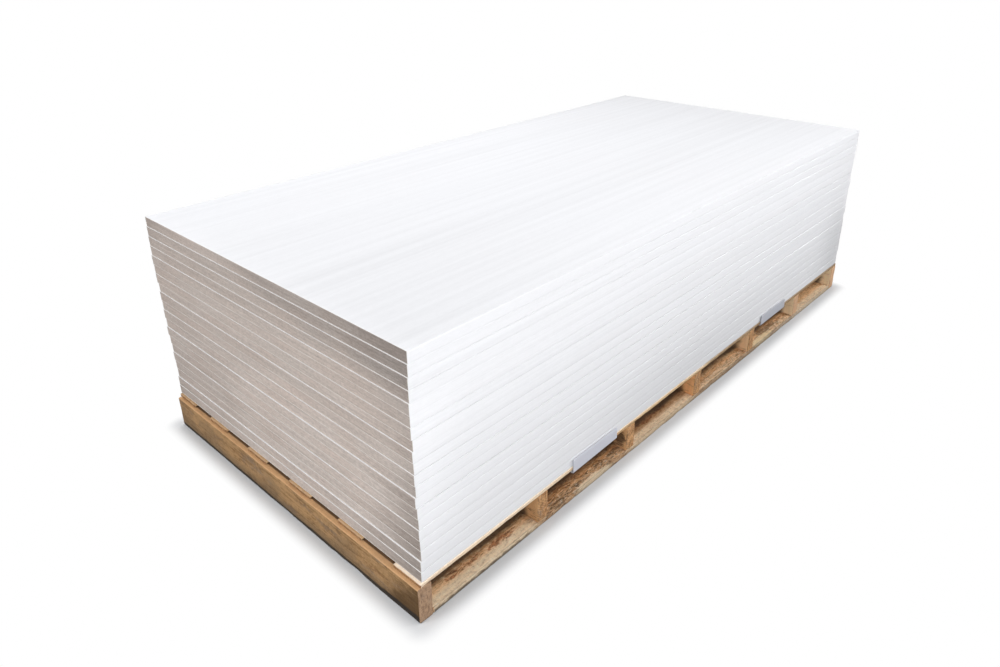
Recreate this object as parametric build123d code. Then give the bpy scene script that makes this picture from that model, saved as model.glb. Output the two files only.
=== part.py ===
from build123d import *
import os

# A stack of fire-resistant boards on the long timber pallet it is delivered on.
# Lengths are in millimetres. X runs along the boards, Z is up, and the origin is on
# the floor under the middle of the pallet. The near end is at -X, the near side at -Y.

# Boards
BOARD_LENGTH = 2500.0
BOARD_WIDTH = 1200.0
BOARD_THICKNESS = 30.75
WRAPPED_EDGE_RADIUS = 1.2

# Each board lies a little out of line with the next. The lists run from the lowest
# board to the highest: how far its near end and its near side stand back.
END_SETBACKS = [
    -1.0, -0.2, 2.4, 1.9, 0.8, 2.3, 1.0, -1.3, 1.0, -0.2,
    1.0, 0.1, 1.7, -0.7, -0.1, -1.4, 0.2, 0.8, 2.3, 3.8,
]
SIDE_SETBACKS = [
    2.7, 2.9, 2.3, 2.4, 2.6, 2.7, 2.8, 4.0, 2.6, 3.7,
    3.8, 3.9, 2.1, 2.9, 3.0, 1.8, 1.2, 1.6, 1.8, 1.9,
]

# Pallet
PALLET_LENGTH = 2520.0
PALLET_WIDTH = 1200.0
STACK_SETBACK = 16.0

BASE_THICKNESS = 18.0
BASE_BOARD_WIDTH = 98.0

BEARER_THICKNESS = 42.0
BEARER_HEIGHT = 88.0
BEARER_CENTRES = [-1239.0, -814.0, -392.0, 19.0, 427.0, 835.0, 1239.0]
END_BEARERS = (BEARER_CENTRES[0], BEARER_CENTRES[-1])

DECK_THICKNESS = 12.0
DECK_BOARD_WIDTH = 100.0
DECK_BOARD_LENGTH = 2510.0
DECK_END_SETBACK = 8.0
DECK_CENTRES = [-550.0, -325.0, -97.0, 121.0, 347.0, 550.0]

SAWN_EDGE = 1.5

# Folded card guards over the lower edge of the stack where forks go in
GUARD_LENGTH = 212.0
GUARD_THICKNESS = 4.0
GUARD_RISE = 40.0
GUARD_TUCK = 70.0
GUARD_INNER_RADIUS = 1.5
GUARD_CENTRES = [-580.0, 593.0]

# Levels
BEARER_LEVEL = BASE_THICKNESS
DECK_LEVEL = BEARER_LEVEL + BEARER_HEIGHT
STACK_LEVEL = DECK_LEVEL + DECK_THICKNESS
NEAR_SIDE = -PALLET_WIDTH / 2
NEAR_END = -PALLET_LENGTH / 2


def bar_along_x(x_start, length, y_centre, width, z_low, height, edge):
    """A straight bar along X whose rectangular section has its long edges rounded."""
    section = Plane.YZ * RectangleRounded(width, height, edge)
    return Pos(x_start, y_centre, z_low + height / 2) * extrude(section, length)


def bar_along_y(x_centre, thickness, y_start, length, z_low, height, edge):
    """The same bar laid across the pallet, along Y."""
    section = Plane.XZ * RectangleRounded(thickness, height, edge)
    return Pos(x_centre, y_start, z_low + height / 2) * extrude(section, -length)


def fire_board(index):
    """One board of the stack: square-cut ends, and long edges that the facing wraps."""
    return bar_along_x(
        NEAR_END + STACK_SETBACK + END_SETBACKS[index],
        BOARD_LENGTH,
        SIDE_SETBACKS[index],
        BOARD_WIDTH,
        STACK_LEVEL + index * BOARD_THICKNESS,
        BOARD_THICKNESS,
        WRAPPED_EDGE_RADIUS,
    )


def bearer(x_centre):
    """A sawn timber on edge across the pallet, which carries the deck.

    The two end ones reach down to the floor, and the others stand on the base boards."""
    z_low = 0.0 if x_centre in END_BEARERS else BEARER_LEVEL
    height = DECK_LEVEL - z_low
    return bar_along_y(
        x_centre, BEARER_THICKNESS, NEAR_SIDE, PALLET_WIDTH, z_low, height, SAWN_EDGE
    )


def deck_board(y_centre):
    """A board along the top of the pallet, under the stack."""
    return bar_along_x(
        NEAR_END + DECK_END_SETBACK, DECK_BOARD_LENGTH, y_centre, DECK_BOARD_WIDTH,
        DECK_LEVEL, DECK_THICKNESS, SAWN_EDGE,
    )


def base_board(place):
    """A board on the floor between the end bearers; place is -1, 0 or 1 across the pallet."""
    length = PALLET_LENGTH - 2 * BEARER_THICKNESS
    y_centre = place * (PALLET_WIDTH - BASE_BOARD_WIDTH) / 2
    return bar_along_x(
        -length / 2, length, y_centre, BASE_BOARD_WIDTH, 0.0, BASE_THICKNESS, SAWN_EDGE
    )


def edge_guard(x_centre):
    """Folded card: a flap up the side of the stack, and one tucked under the deck board."""
    fold_y = NEAR_SIDE - GUARD_THICKNESS / 2
    fold_z = DECK_LEVEL - GUARD_THICKNESS / 2
    middle_line = FilletPolyline(
        (fold_y, fold_z + GUARD_RISE),
        (fold_y, fold_z),
        (fold_y + GUARD_TUCK, fold_z),
        radius=GUARD_INNER_RADIUS + GUARD_THICKNESS / 2,
    )
    section = Plane.YZ * offset(middle_line, GUARD_THICKNESS / 2, side=Side.BOTH, kind=Kind.ARC)
    return Pos(x_centre - GUARD_LENGTH / 2, 0, 0) * extrude(make_face(section), GUARD_LENGTH)


def named_parts():
    """Every piece by the name of its node."""
    parts = {}
    for number in range(1, len(END_SETBACKS) + 1):
        parts[f"fire_board_{number:02d}"] = fire_board(number - 1)
    for number, centre in enumerate(BEARER_CENTRES, 1):
        parts[f"pallet_bearer_{number}"] = bearer(centre)
    for number, centre in enumerate(DECK_CENTRES, 1):
        parts[f"pallet_deck_board_{number}"] = deck_board(centre)
    for name, place in (("near_side", -1), ("middle", 0), ("far_side", 1)):
        parts[f"pallet_base_board_{name}"] = base_board(place)
    for number, centre in enumerate(GUARD_CENTRES, 1):
        parts[f"edge_guard_{number}"] = edge_guard(centre)
    return parts


os.makedirs("parts", exist_ok=True)
for name, solid in named_parts().items():
    export_step(solid, f"parts/{name}.step")
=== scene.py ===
import math

import bpy
import numpy as np
from mathutils import Matrix, Vector


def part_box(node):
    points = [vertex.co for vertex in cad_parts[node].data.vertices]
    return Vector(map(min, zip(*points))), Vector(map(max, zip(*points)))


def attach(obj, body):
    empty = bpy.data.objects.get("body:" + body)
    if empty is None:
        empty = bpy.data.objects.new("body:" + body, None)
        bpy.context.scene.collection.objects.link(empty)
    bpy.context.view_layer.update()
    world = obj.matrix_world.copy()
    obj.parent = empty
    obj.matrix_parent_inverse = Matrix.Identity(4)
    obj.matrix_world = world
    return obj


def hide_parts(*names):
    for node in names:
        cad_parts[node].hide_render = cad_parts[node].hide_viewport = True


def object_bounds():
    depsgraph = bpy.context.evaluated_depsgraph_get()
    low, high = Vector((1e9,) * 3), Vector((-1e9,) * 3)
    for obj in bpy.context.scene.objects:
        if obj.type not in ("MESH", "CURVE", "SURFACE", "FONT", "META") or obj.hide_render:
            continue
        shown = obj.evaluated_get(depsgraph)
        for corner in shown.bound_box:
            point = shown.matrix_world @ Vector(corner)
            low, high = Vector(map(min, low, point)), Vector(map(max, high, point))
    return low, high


# A stack of fire-resistant boards on its timber pallet. Lengths are in metres. X runs along
# the boards, Z is up, and the origin is on the floor under the middle of the pallet.

bl_info = {
    "name": "Stack of fire-resistant boards",
    "version": (1, 0, 0),
    "blender": (4, 5, 0),
    "location": "3D View > Sidebar > Boards",
    "description": "Makes a stack of fire-resistant boards on its timber pallet",
    "category": "Add Mesh",
}

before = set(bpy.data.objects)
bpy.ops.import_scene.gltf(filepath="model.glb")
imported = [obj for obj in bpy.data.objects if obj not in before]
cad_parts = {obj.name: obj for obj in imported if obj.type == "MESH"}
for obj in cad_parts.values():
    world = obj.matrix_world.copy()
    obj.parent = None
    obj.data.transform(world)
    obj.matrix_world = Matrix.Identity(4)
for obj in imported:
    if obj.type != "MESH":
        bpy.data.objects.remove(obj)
CAD_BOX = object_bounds()

# Nodes of the frame
BOARD_COUNT = 20
BEARER_COUNT = 7
DECK_BOARD_COUNT = 6
BASE_BOARDS = ("near_side", "middle", "far_side")

# Levels of the stack
STACK_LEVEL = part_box("fire_board_01")[0][2]
TOP_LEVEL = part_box(f"fire_board_{BOARD_COUNT:02d}")[1][2]
BOARD_PITCH = (TOP_LEVEL - STACK_LEVEL) / BOARD_COUNT

# Seeds of the random draws, one for each kind of piece and two more for how the boards'
# edges stray and their faces sink
BOARD_SEED = 100
STRAY_SEED = 140
SINK_SEED = 180
BEARER_SEED = 200
DECK_SEED = 300
BASE_SEED = 340
GUARD_SEED = 500
NAIL_SEED = 600

# Step from a kind of timber's seed to that of its first piece, and on to each next one
SEED_STEP = 60

# Sine waves in a smooth noise, and the shares of its wavelength between which theirs lie
WAVES = 20
WAVE_SHARES = (0.7, 1.6)

# Points that agree to this many decimals of a metre become one
MERGED_DECIMALS = 7

# Faces that meet at a larger angle than this, in degrees, keep a sharp edge between them
SHARP_ANGLE = 50


# Surfaces worked out with numpy


def smooth_noise(points, wavelength, seed):
    """Smooth height from -1 to 1 at each point.

    It is a sum of sine waves with random directions and phases, all near one wavelength,
    flattened at its tops by a hyperbolic tangent."""
    rng = np.random.default_rng(seed)
    directions = rng.normal(size=(WAVES, 3))
    directions /= np.linalg.norm(directions, axis=1)[:, None]
    numbers = 2 * np.pi / (wavelength * rng.uniform(*WAVE_SHARES, WAVES))
    phases = rng.uniform(0, 2 * np.pi, WAVES)
    total = np.sin(points @ (directions * numbers[:, None]).T + phases).sum(-1)
    return np.tanh(total / math.sqrt(WAVES))


def rounded_loops(half_across, half_up, insets, radii, arc_steps, across_steps, up_steps):
    """Closed loops round a bar, one for each row, as rows x points x (across, up).

    A loop is a rectangle with a quarter circle at each corner and straight runs in equal
    steps between them, counter-clockwise from the +across side. An inset moves the loop
    inwards all round and shrinks its circles in proportion, so that at an inset of
    half_up the loop has closed onto its own middle line."""
    circles = radii * (1 - insets / half_up)[:, None]
    reach = np.stack([half_across - insets, half_up - insets], 1)
    signs = np.array([(1, 1), (-1, 1), (-1, -1), (1, -1)])
    centres = (reach[:, None, :] - circles[..., None]) * signs
    turn = np.linspace(0, np.pi / 2, arc_steps + 1)
    arcs = []
    for corner in range(4):
        angles = turn + corner * np.pi / 2
        unit = np.stack([np.cos(angles), np.sin(angles)], 1)
        arcs.append(centres[:, corner, None, :] + circles[:, corner, None, None] * unit)
    runs = []
    for corner in range(4):
        start = arcs[corner][:, -1:]
        end = arcs[(corner + 1) % 4][:, :1]
        steps = across_steps if corner % 2 == 0 else up_steps
        share = (np.arange(1, steps) / steps)[None, :, None]
        runs += [arcs[corner], start + (end - start) * share]
    return np.concatenate(runs, 1)


def bar_rows(half_length, step, rim, insets):
    """Place along the bar and inset of every row, from one closed end to the other.

    rim is a list of (distance back from the end, inset) from the end face outwards to the
    side, and insets are those of the end face, from its middle line outwards."""
    back = np.array([0.0] * len(insets) + [r[0] for r in rim])
    inset = np.array(list(insets) + [r[1] for r in rim])
    count = max(2, int(round(2 * half_length / step)))
    body = np.linspace(-half_length + back[-1], half_length - back[-1], count + 1)[1:-1]
    along = np.concatenate([back - half_length, body, half_length - back[::-1]])
    return along, np.concatenate([inset, np.zeros(len(body)), inset[::-1]])


def put_in_scene(name, data):
    """A new object with this data, linked to the scene."""
    thing = bpy.data.objects.new(name, data)
    bpy.context.scene.collection.objects.link(thing)
    return thing


def skin(name, points, row_slots, marks):
    """Object whose surface joins each loop to the next one.

    points is rows x loop x 3. Neighbouring points of two neighbouring loops make a
    four-sided face, points in one place become one vertex, and faces that this closes to a
    line are left out. row_slots gives the material of each strip, and marks holds values
    for each point that the materials read."""
    rows, count, _ = points.shape
    index = np.arange(rows * count).reshape(rows, count)
    beside = np.roll(index, -1, 1)
    faces = np.stack([index[:-1], beside[:-1], beside[1:], index[1:]], -1).reshape(-1, 4)
    slots = np.repeat(row_slots, count)
    flat = points.reshape(-1, 3)
    rounded = np.round(flat, MERGED_DECIMALS)
    _, first, merged = np.unique(rounded, axis=0, return_index=True, return_inverse=True)
    faces = merged.reshape(-1)[faces]
    closed = faces == np.roll(faces, -1, 1)
    whole = closed.sum(1) == 0
    three = closed.sum(1) == 1
    triangles = faces[three][~closed[three]].reshape(-1, 3)
    mesh = bpy.data.meshes.new(name)
    mesh.from_pydata(flat[first].tolist(), [], faces[whole].tolist() + triangles.tolist())
    kinds = np.concatenate([slots[whole], slots[three]]).astype(np.int32)
    mesh.polygons.foreach_set("material_index", kinds)
    mesh.polygons.foreach_set("use_smooth", np.ones(len(kinds), bool))
    for mark, values in marks.items():
        values = values.reshape(rows * count, -1)[first].astype(np.float32)
        if values.shape[1] == 3:
            layer = mesh.attributes.new(mark, "FLOAT_VECTOR", "POINT")
            layer.data.foreach_set("vector", values.ravel())
        else:
            layer = mesh.attributes.new(mark, "FLOAT", "POINT")
            layer.data.foreach_set("value", values.ravel())
    mesh.update()
    mesh.validate()
    mesh.set_sharp_from_angle(angle=math.radians(SHARP_ANGLE))
    return put_in_scene(name, mesh)


def lay_out(across, up, along, axis):
    """Points in the frame of a bar that runs along X or along Y, its top upwards."""
    if axis == "X":
        return np.stack([along, across, up], -1)
    return np.stack([-across, along, up], -1)


def settle(piece, materials, node=None):
    """Gives a finished piece its materials and its body, and hides the part of the node it stands
    for, if there is one."""
    for material in materials:
        piece.data.materials.append(material)
    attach(piece, "root")
    if node:
        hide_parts(node)


def half_sizes(node):
    """Centre and half sizes of a node's box, as numpy arrays."""
    low, high = (np.array(corner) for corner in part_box(node))
    return (low + high) / 2, (high - low) / 2


# Materials


class Value:
    """A socket whose value varies over a surface. Operators on it add Math nodes."""

    def __init__(self, finish, socket):
        self.finish = finish
        self.socket = socket

    def __add__(self, other):
        return self.finish.maths("ADD", self, other)

    __radd__ = __add__

    def __sub__(self, other):
        return self.finish.maths("SUBTRACT", self, other)

    def __rsub__(self, other):
        return self.finish.maths("SUBTRACT", other, self)

    def __mul__(self, other):
        return self.finish.maths("MULTIPLY", self, other)

    __rmul__ = __mul__

    def __abs__(self):
        return self.finish.maths("ABSOLUTE", self)

    def larger(self, other):
        return self.finish.maths("MAXIMUM", self, other)


def rgb(colour):
    """A colour of three numbers with full opacity."""
    return (colour[0], colour[1], colour[2], 1.0)


class Finish:
    """The nodes of one material or world, and plain ways to add to them."""

    def __init__(self, owner):
        owner.use_nodes = True
        self.owner = owner
        self.tree = owner.node_tree
        self.tree.nodes.clear()

    def add(self, kind, settings=None, inputs=None, output=0):
        """One node: its settings first, then the values or links of its sockets."""
        node = self.tree.nodes.new(kind)
        for name, setting in (settings or {}).items():
            setattr(node, name, setting)
        for name, value in (inputs or {}).items():
            socket = self.find(node.inputs, name)
            if isinstance(value, Value):
                self.tree.links.new(value.socket, socket)
            else:
                socket.default_value = value
        if not node.outputs:
            return None
        return Value(self, self.find(node.outputs, output))

    def find(self, sockets, name):
        """The socket with this number, identifier or name."""
        if isinstance(name, int):
            return sockets[name]
        for socket in sockets:
            if socket.identifier == name:
                return socket
        return sockets[name]

    def here(self):
        """The point itself, in the piece's own coordinates."""
        return self.add("ShaderNodeTexCoord", None, None, "Object")

    def mark(self, name, output="Vector"):
        """A value that the mesh holds for each point."""
        return self.add("ShaderNodeAttribute", {"attribute_name": name}, None, output)

    def maths(self, operation, first, second=0.0):
        """A Math node. Where it works on one number, it leaves the second alone."""
        return self.add("ShaderNodeMath", {"operation": operation}, {0: first, 1: second})

    def vector_maths(self, operation, inputs, output=0):
        """A Vector Math node."""
        return self.add("ShaderNodeVectorMath", {"operation": operation}, inputs, output)

    def parts(self, vector):
        """The three numbers of a vector."""
        first = self.add("ShaderNodeSeparateXYZ", None, {0: vector})
        return [Value(self, socket) for socket in first.socket.node.outputs]

    def joined(self, x=0.0, y=0.0, z=0.0):
        """The vector of three numbers."""
        return self.add("ShaderNodeCombineXYZ", None, {0: x, 1: y, 2: z})

    def stretch(self, vector, factors):
        """The vector with each of its numbers multiplied."""
        return self.vector_maths("MULTIPLY", {0: vector, 1: factors})

    def moved(self, vector, by):
        """The vector plus another."""
        return self.vector_maths("ADD", {0: vector, 1: by})

    def times(self, vector, number):
        """The vector multiplied by a number."""
        return self.vector_maths("SCALE", {0: vector, "Scale": number})

    def length(self, vector):
        """The length of a vector."""
        return self.vector_maths("LENGTH", {0: vector}, "Value")

    def cells(self, vector, scale):
        """Distance to the nearest of many scattered points."""
        return self.add(
            "ShaderNodeTexVoronoi", None, {"Vector": vector, "Scale": scale}, "Distance"
        )

    def noise(self, vector, scale=1.0, detail=2.0, roughness=0.5, output=0, distortion=0.0):
        """Cloudy noise from 0 to 1, with its average near a half."""
        return self.add(
            "ShaderNodeTexNoise",
            {"noise_dimensions": "3D"},
            {
                "Vector": vector,
                "Scale": scale,
                "Detail": detail,
                "Roughness": roughness,
                "Distortion": distortion,
            },
            output,
        )

    def drawn(self, vector, waves, detail, roughness=0.5, output=0, distortion=0.0):
        """Noise with its own number of waves a metre along each axis, so that it is drawn
        out along the axis with the fewest."""
        stretched = self.stretch(vector, waves)
        return self.noise(stretched, 1.0, detail, roughness, output, distortion)

    def fade(self, value, start, end):
        """0 up to start, 1 from end on, and smooth between them. start may be larger."""
        return self.add(
            "ShaderNodeMapRange",
            {"interpolation_type": "SMOOTHSTEP"},
            {"Value": value, "From Min": start, "From Max": end},
        )

    def mix(self, share, first, second, blend="MIX"):
        """The first colour where share is 0 and the second where it is 1. Each one is a
        socket or three numbers."""
        first, second = (c if isinstance(c, Value) else rgb(c) for c in (first, second))
        return self.add(
            "ShaderNodeMix",
            {"data_type": "RGBA", "blend_type": blend},
            {"Factor_Float": share, "A_Color": first, "B_Color": second},
            "Result_Color",
        )

    def shade(self, colour, brightness):
        """The colour multiplied by a number that varies."""
        return self.mix(1.0, colour, self.joined(brightness, brightness, brightness), "MULTIPLY")

    def grained(self, wood, noise, tones):
        """Wood mixed with each tone of a noise. A tone is where in the noise it starts, where
        it is full, how strong it is, and its colour."""
        for start, full, share, colour in tones:
            wood = self.mix(self.fade(noise, start, full) * share, wood, colour)
        return wood

    def patch(self, here, centre, radii, ragged):
        """1 inside an ellipsoid and 0 well outside it, with an edge that noise makes ragged."""
        offset = self.moved(here, tuple(-c for c in centre))
        scaled = self.stretch(offset, tuple(1 / r for r in radii))
        return self.fade(self.length(scaled) + ragged, 1.15, 0.75)

    def surface(self, colour, roughness, height, depth, specular):
        """The shader itself, with height giving its fine relief of that depth."""
        normal = self.add(
            "ShaderNodeBump", None, {"Height": height, "Strength": 1.0, "Distance": depth}
        )
        shader = self.add(
            "ShaderNodeBsdfPrincipled",
            None,
            {
                "Base Color": colour,
                "Roughness": roughness,
                "Normal": normal,
                "Specular IOR Level": specular,
            },
        )
        self.add("ShaderNodeOutputMaterial", None, {"Surface": shader})
        return self.owner


# How far the dust of a joint reaches to either side of it, fading out from the first
# distance to the second
JOINT_DUST = (0.0006, 0.0014)


def paper_finish(looks):
    """White paper facing: cloudy, fibrous, with faint streaks along its length, a few scuffs,
    and dust along the joints between the boards, more of it at some joints than at others.

    The near side has painted shade low down at its middle and by the far corner, and painted light
    by the near corner."""
    f = Finish(bpy.data.materials.new("paper_facing"))
    x, y, level = f.parts(f.here())
    place = f.mark("sheet_place")
    tone = f.mark("tone", "Fac")
    cloud = f.noise(place, 1.6, 3.0)
    streak = f.drawn(place, (0.5, 45.0, 45.0), 3.0)
    fibre = f.noise(place, 850.0, 2.0, 0.6)
    line = f.drawn(place, (0.8, 60.0, 380.0), 2.0)
    weave = f.drawn(place, (60.0, 170.0, 170.0), 3.0, 0.7)
    shade = 0.835 + cloud * 0.03 + streak * 0.045 + fibre * 0.03 + line * 0.125
    shade = shade + weave * 0.08 + tone * 0.02
    scuff = f.fade(f.drawn(place, (9.0, 60.0, 60.0), 4.0, 0.65), 0.66, 0.78)

    layers = (level - STACK_LEVEL) * (1 / BOARD_PITCH)
    from_joint = f.maths("PINGPONG", layers, 0.5) * BOARD_PITCH
    joint = f.maths("ROUND", layers)
    dusty = f.fade(f.noise(f.joined(x=x * 0.4, z=joint * 3.7 + 1.9), 1.0, 1.0), 0.30, 0.70)
    at_side = f.fade(abs(y), 0.5935, 0.5950) * f.fade(level, 0.665, 0.575)
    dust = f.fade(from_joint, JOINT_DUST[1], JOINT_DUST[0]) * (dusty * 0.19 + 0.01) * at_side

    # Painted shade low down at the near side's middle and by its far corner, and painted light by
    # its near corner
    painted_side_shade = f.fade(level, 0.38, 0.10) * f.fade(abs(x), 1.0, 0.0) * 0.10
    painted_side_shade = painted_side_shade + f.fade(level, 0.46, 0.30) * f.fade(x, 0.92, 1.24) * 0.13
    painted_light = f.fade(level, 0.66, 0.52) * f.fade(level, 0.12, 0.26) * f.fade(x, -1.05, -1.24) * 0.05
    shade = shade - scuff * 0.025 - dust + (painted_light - painted_side_shade) * f.fade(y, -0.58, -0.59)
    tint = f.mix(cloud, looks.paper, looks.paper_cool)
    height = fibre * 0.7 + streak * 0.3
    colour = f.shade(tint, shade)
    return f.surface(colour, 0.72 + fibre * 0.16, height, depth=0.0001, specular=0.12)


def core_finish(looks):
    """Cut core of a board: fine aggregate and pores drawn out in thin layers.

    Over the whole end of the stack it has painted shade towards the corners, along the top and low
    down by the near corner, and painted light in the lower middle."""
    f = Finish(bpy.data.materials.new("board_core"))
    here = f.here()
    _, y, level = f.parts(here)
    place = f.mark("sheet_place")
    tone = f.mark("tone", "Fac")
    grit = f.noise(place, 520.0, 4.0, 0.7)
    crumb = f.cells(place, 420.0)
    layer = f.drawn(place, (1.0, 9.0, 420.0), 3.0, 0.6)
    band = f.drawn(place, (1.0, 3.0, 190.0), 3.0, 0.6)
    pore = f.drawn(place, (1.0, 80.0, 230.0), 5.0, 0.75)
    blotch = f.noise(place, 5.0, 3.0)
    shade = grit * 0.45 + layer * 0.20 + band * 0.55 + pore + tone * 0.06 - crumb * 0.10 - 0.08

    uneven = blotch - 0.5
    # Painted light in the middle and lower middle of the stack's end, and painted shade at its
    # upper near part, along its top and low down by the near corner
    painted_light = f.patch(here, (0.0, 0.08, 0.43), (10.0, 0.71, 0.48), uneven * 0.3)
    upper = f.patch(here, (0.0, -0.45, 0.80), (10.0, 0.65, 0.17), uneven * 0.4)
    pale = f.patch(here, (0.0, -0.12, 0.27), (10.0, 0.36, 0.19), uneven * 0.3)
    painted_shade_top = f.fade(level, 0.52, 0.64)
    corner = f.fade(y, -0.48, -0.60) * f.fade(level, 0.47, 0.38)
    shade = shade * (painted_light * 0.32 + 0.68)
    shade = shade * (1.0 - upper * 0.20 - painted_shade_top * 0.085 - corner * 0.12 + pale * 0.11)
    mixed = f.mix(f.fade(blotch, 0.3, 0.7), looks.core, looks.core_warm)
    height = grit * 0.5 + layer * 0.3 + pore * 0.2
    colour = f.shade(mixed, shade)
    return f.surface(colour, 0.85 + grit * 0.1, height, depth=0.0005, specular=0.2)


def facing_edge_finish(looks):
    """Cut edge of the paper facing, torn to short fibres."""
    f = Finish(bpy.data.materials.new("facing_edge"))
    place = f.mark("sheet_place")
    torn = f.drawn(place, (1.0, 260.0, 900.0), 3.0, 0.6)
    dull = f.noise(place, 14.0, 2.0)
    shade = 0.74 + torn * 0.22 + dull * 0.12
    colour = f.shade(looks.facing_edge, shade)
    return f.surface(colour, 0.8 + torn * 0.1, torn, depth=0.0003, specular=0.2)


def timber_finish(name, looks, early, late, stains=None, *, wear, figure):
    """Rough softwood: growth rings about a pith that lies beside the piece, fibres, knots,
    saw marks across the grain, grey weathering and dirt near the floor.

    wear is how strong the weathering is, and figure how clearly the rings and knots show.
    stains, if given, adds the marks of one kind of piece to the colour."""
    f = Finish(bpy.data.materials.new(name))
    grain = f.mark("grain_place")
    tone = f.mark("tone", "Fac")
    here = f.here()
    _, _, level = f.parts(here)
    fibre = f.drawn(grain, (14.0, 1000.0, 1000.0), 3.0, 0.6)
    streak = f.drawn(grain, (5.0, 90.0, 90.0), 5.0, 0.7)
    blotch = f.drawn(grain, (10.0, 32.0, 32.0), 6.0, 0.72)
    mottle = f.drawn(grain, (50.0, 95.0, 95.0), 5.0, 0.75)
    sawn = f.drawn(grain, (170.0, 10.0, 10.0), 3.0, 0.7)
    speck = f.noise(grain, 260.0, 3.0, 0.7)
    elsewhere = f.moved(f.stretch(grain, (13.0, 45.0, 45.0)), (7.3, 2.1, 5.9))
    patch = f.noise(elsewhere, 1.0, 6.0, 0.75)

    eye = f.cells(f.stretch(grain, (3.1, 14.0, 14.0)), 1.0)
    ragged = f.drawn(grain, (30.0, 90.0, 90.0), 3.0, 0.6)
    knot = f.fade(eye + ragged * 0.12, 0.19, 0.11) * figure
    around = f.fade(eye, 0.5, 0.08)
    sway = f.drawn(grain, (1.7, 5.0, 5.0), 2.0, output="Color")
    bent = f.moved(f.stretch(grain, (0.02, 1.0, 1.0)), f.times(sway, 0.035))
    bent = f.moved(bent, f.times(f.joined(y=around, z=around), 0.012))
    rings = f.add(
        "ShaderNodeTexWave",
        {"wave_type": "RINGS", "rings_direction": "X", "wave_profile": "SAW"},
        {"Vector": bent, "Scale": 46.0, "Distortion": 0.8, "Detail": 2.0, "Detail Scale": 2.0},
        "Fac",
    )

    figured = rings * 0.22 * figure + streak * 0.55 + patch * 0.45 + mottle * 0.60 + fibre * 0.15
    wood = f.mix(f.fade(figured, 0.85, 1.09), early, late)
    wood = f.mix(f.fade(blotch, 0.54, 0.68) * wear, wood, looks.weathered)
    wood = f.mix(f.fade(patch * 0.6 + mottle * 0.4, 0.57, 0.66) * wear, wood, looks.crack)
    wood = f.mix(f.fade(streak, 0.58, 0.68) * 0.5 * figure, wood, looks.resin)
    wood = f.mix(around * 0.3 * figure, wood, late)
    wood = f.mix(knot * 0.8, wood, looks.knot)
    if stains:
        wood = stains(f, here, wood, blotch, streak * 0.5 + mottle * 0.5)
    grime = f.fade(level + blotch * 0.016, 0.020, 0.006) * 0.5
    wood = f.mix(grime, wood, looks.grime)
    shade = 0.60 + speck * 0.34 + fibre * 0.14 + tone * 0.14 + sawn * 0.30
    height = fibre * 0.3 + rings * 0.25 + sawn * 0.25 + speck * 0.2 - knot * 0.2
    colour = f.shade(wood, shade)
    return f.surface(colour, 0.72 + fibre * 0.18, height, depth=0.0012, specular=0.25)


def painted_shade_in_bay(f, y, ragged, start):
    """0 at the pallet's long sides and 1 further in, where the timber gets painted shade.

    start is the distance from the middle of the pallet at which this begins."""
    return f.fade(abs(y) + ragged * 0.014, start, start - 0.026)


# Dark brown of painted shade far inside the bays of the base, and of the timber above it
BASE_BAY_SHADE = (0.030, 0.018, 0.011)
TIMBER_BAY_SHADE = (0.045, 0.028, 0.017)

# Colours of the base boards
REDDISH = (0.42, 0.17, 0.075)
TORN_GRAIN = (0.05, 0.032, 0.022)
WARM_PALE = (0.62, 0.33, 0.15)
WARM_DARK = (0.42, 0.22, 0.10)
GNARLED_DARK = (0.105, 0.062, 0.030)
GNARLED_PALE = (0.66, 0.36, 0.16)
CREAM = (1.0, 0.80, 0.56)
YELLOWED = (0.92, 0.72, 0.44)
BLACK_STAIN = (0.055, 0.045, 0.038)
SPOT_DARK = (0.34, 0.18, 0.095)
SPOT_PALE = (1.0, 0.85, 0.64)
RUST_PALE = (0.46, 0.17, 0.07)
RUST_DARK = (0.14, 0.055, 0.028)
HOLLOW_BROWN = (0.20, 0.10, 0.045)
# Dirt with painted shade on the base's front face
FRONT_SHADE_BROWN = (0.12, 0.09, 0.065)
FRONT_SHADE_GREY = (0.20, 0.20, 0.19)
# Dirt with painted contact shadow at the base's foot
FOOT_DIRT_AND_SHADOW = (0.055, 0.042, 0.034)
WARM_TINT = (1.0, 0.84, 0.68)

# Tones of the cracks of the base
BASE_CRACKS = ((0.57, 0.66, 0.6, (0.11, 0.055, 0.028)), (0.43, 0.34, 0.5, (0.92, 0.70, 0.47)))

# Rusty streaks of the base: place along it, place across it and half length
RUSTY_STREAKS = ((-1.08, -0.560, 0.060), (-0.935, -0.565, 0.055), (-0.21, -0.553, 0.08))

# Bays whose base is browner further in: where each starts and ends along the pallet, where
# the brown starts across it, and how strong it is
BROWN_BAYS = ((-0.79, -0.42, -0.566, 0.42), (-0.37, 0.0, -0.578, 0.55))


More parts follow.
